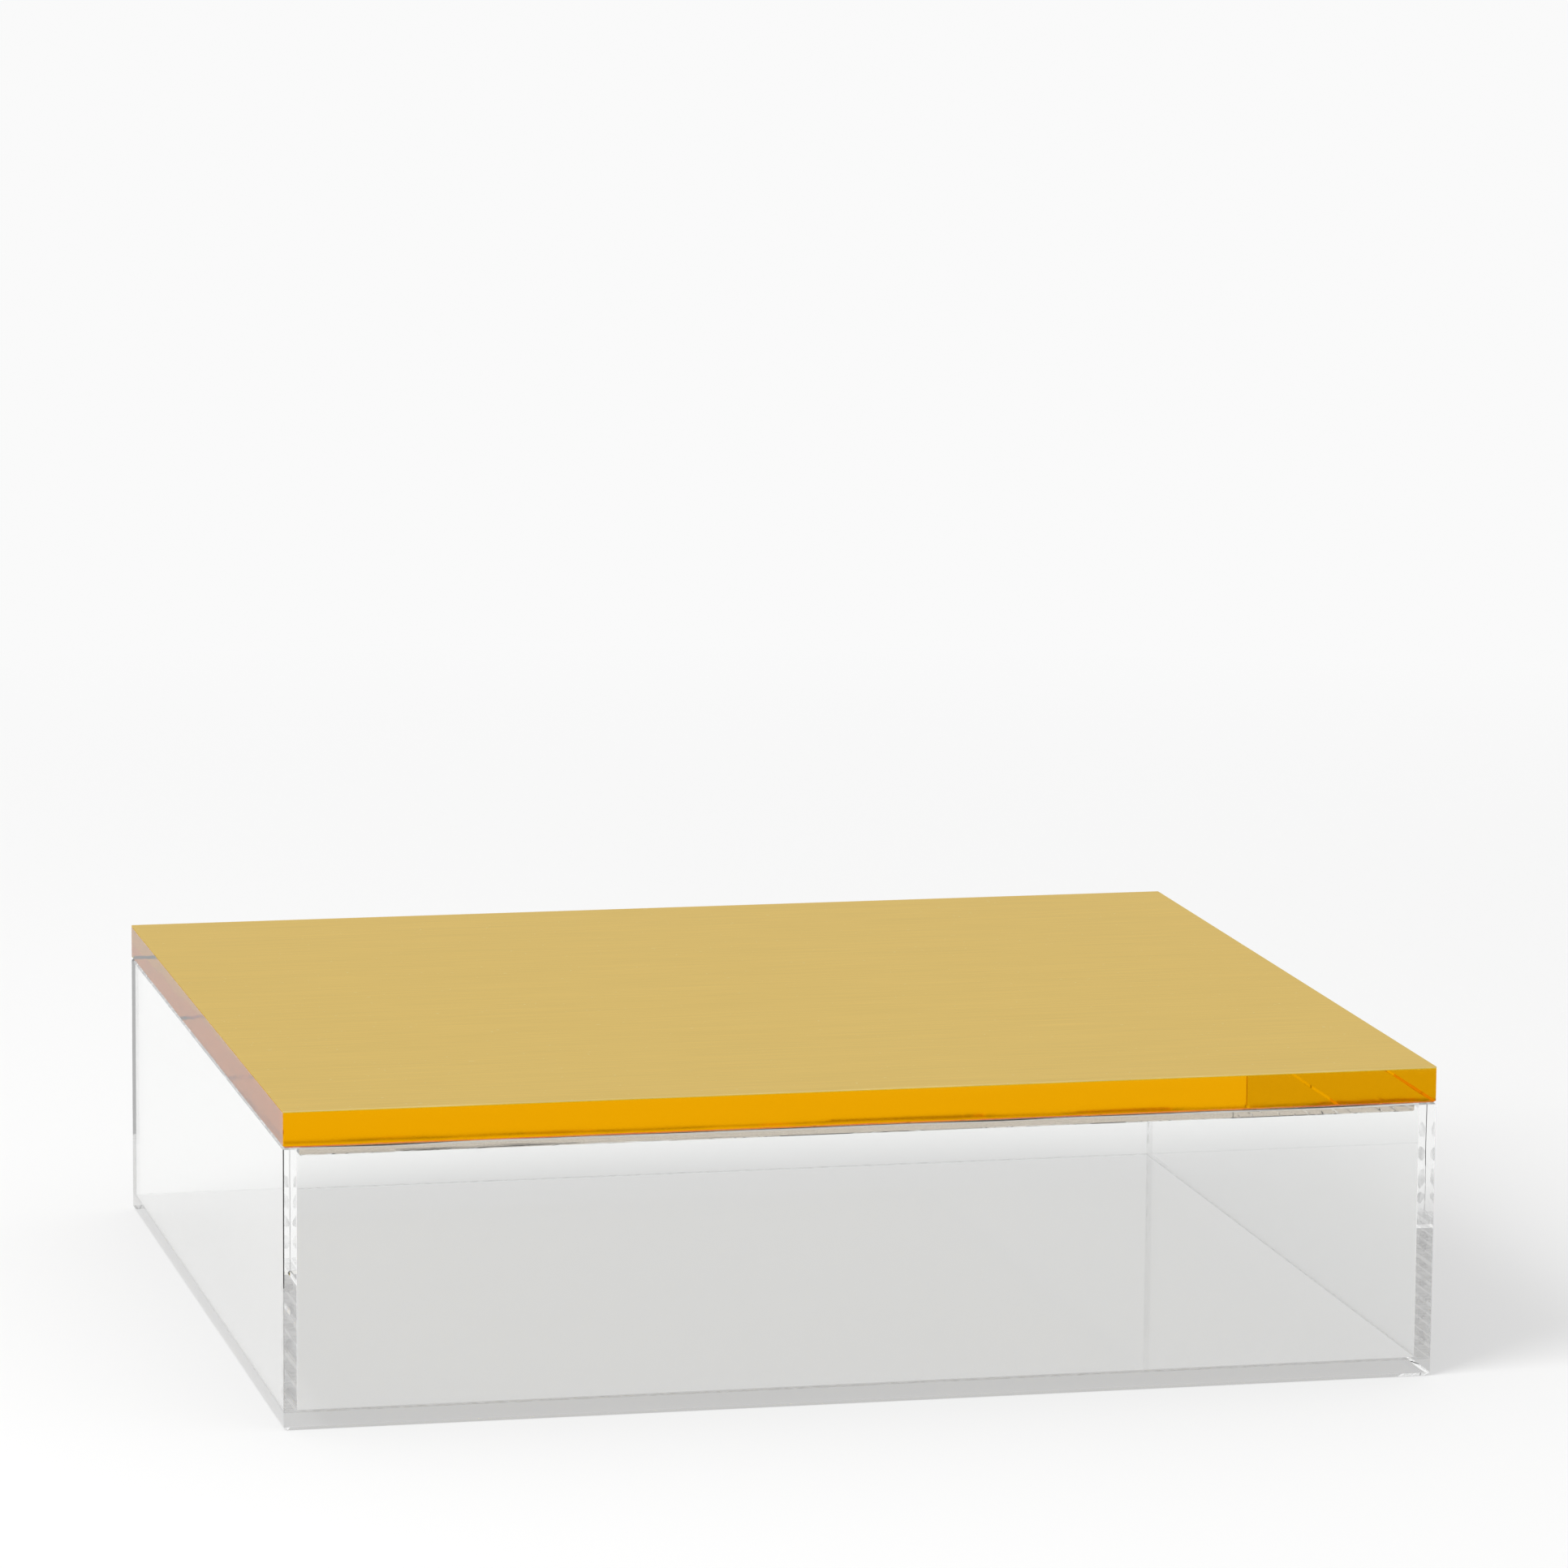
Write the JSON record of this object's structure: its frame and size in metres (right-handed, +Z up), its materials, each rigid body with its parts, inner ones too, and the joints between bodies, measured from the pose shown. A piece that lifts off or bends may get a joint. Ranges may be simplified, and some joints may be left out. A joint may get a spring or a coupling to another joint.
{
  "type": "acrylic storage box with lid",
  "caption": "Low clear acrylic storage box with a lift-off lid: a thick clear slab with a brushed brass sheet on top and a clear locating plate beneath.",
  "frame": {"origin": "middle of the underside, on the surface that the box stands on", "axes": "+X runs along the front to the right, +Y from the front to the back, +Z up"},
  "size_m": [0.32, 0.28, 0.087],
  "materials": {
    "clear_acrylic": "polished",
    "adhesive": "gloss",
    "brushed_brass": "satin"
  },
  "bodies": {
    "box": {"base_plate": "clear_acrylic", "front_wall": "clear_acrylic", "back_wall": "clear_acrylic", "left_wall": "clear_acrylic", "right_wall": "clear_acrylic"},
    "lid": {"lid_slab": "clear_acrylic", "locating_plate": "clear_acrylic", "adhesive_film": "adhesive", "brass_sheet": "brushed_brass"}
  },
  "joints": [
    {"name": "lid_lift", "type": "slide", "parent": "box", "child": "lid", "axis": [0, 0, 1], "range_m": [0, 0.15]}
  ]
}
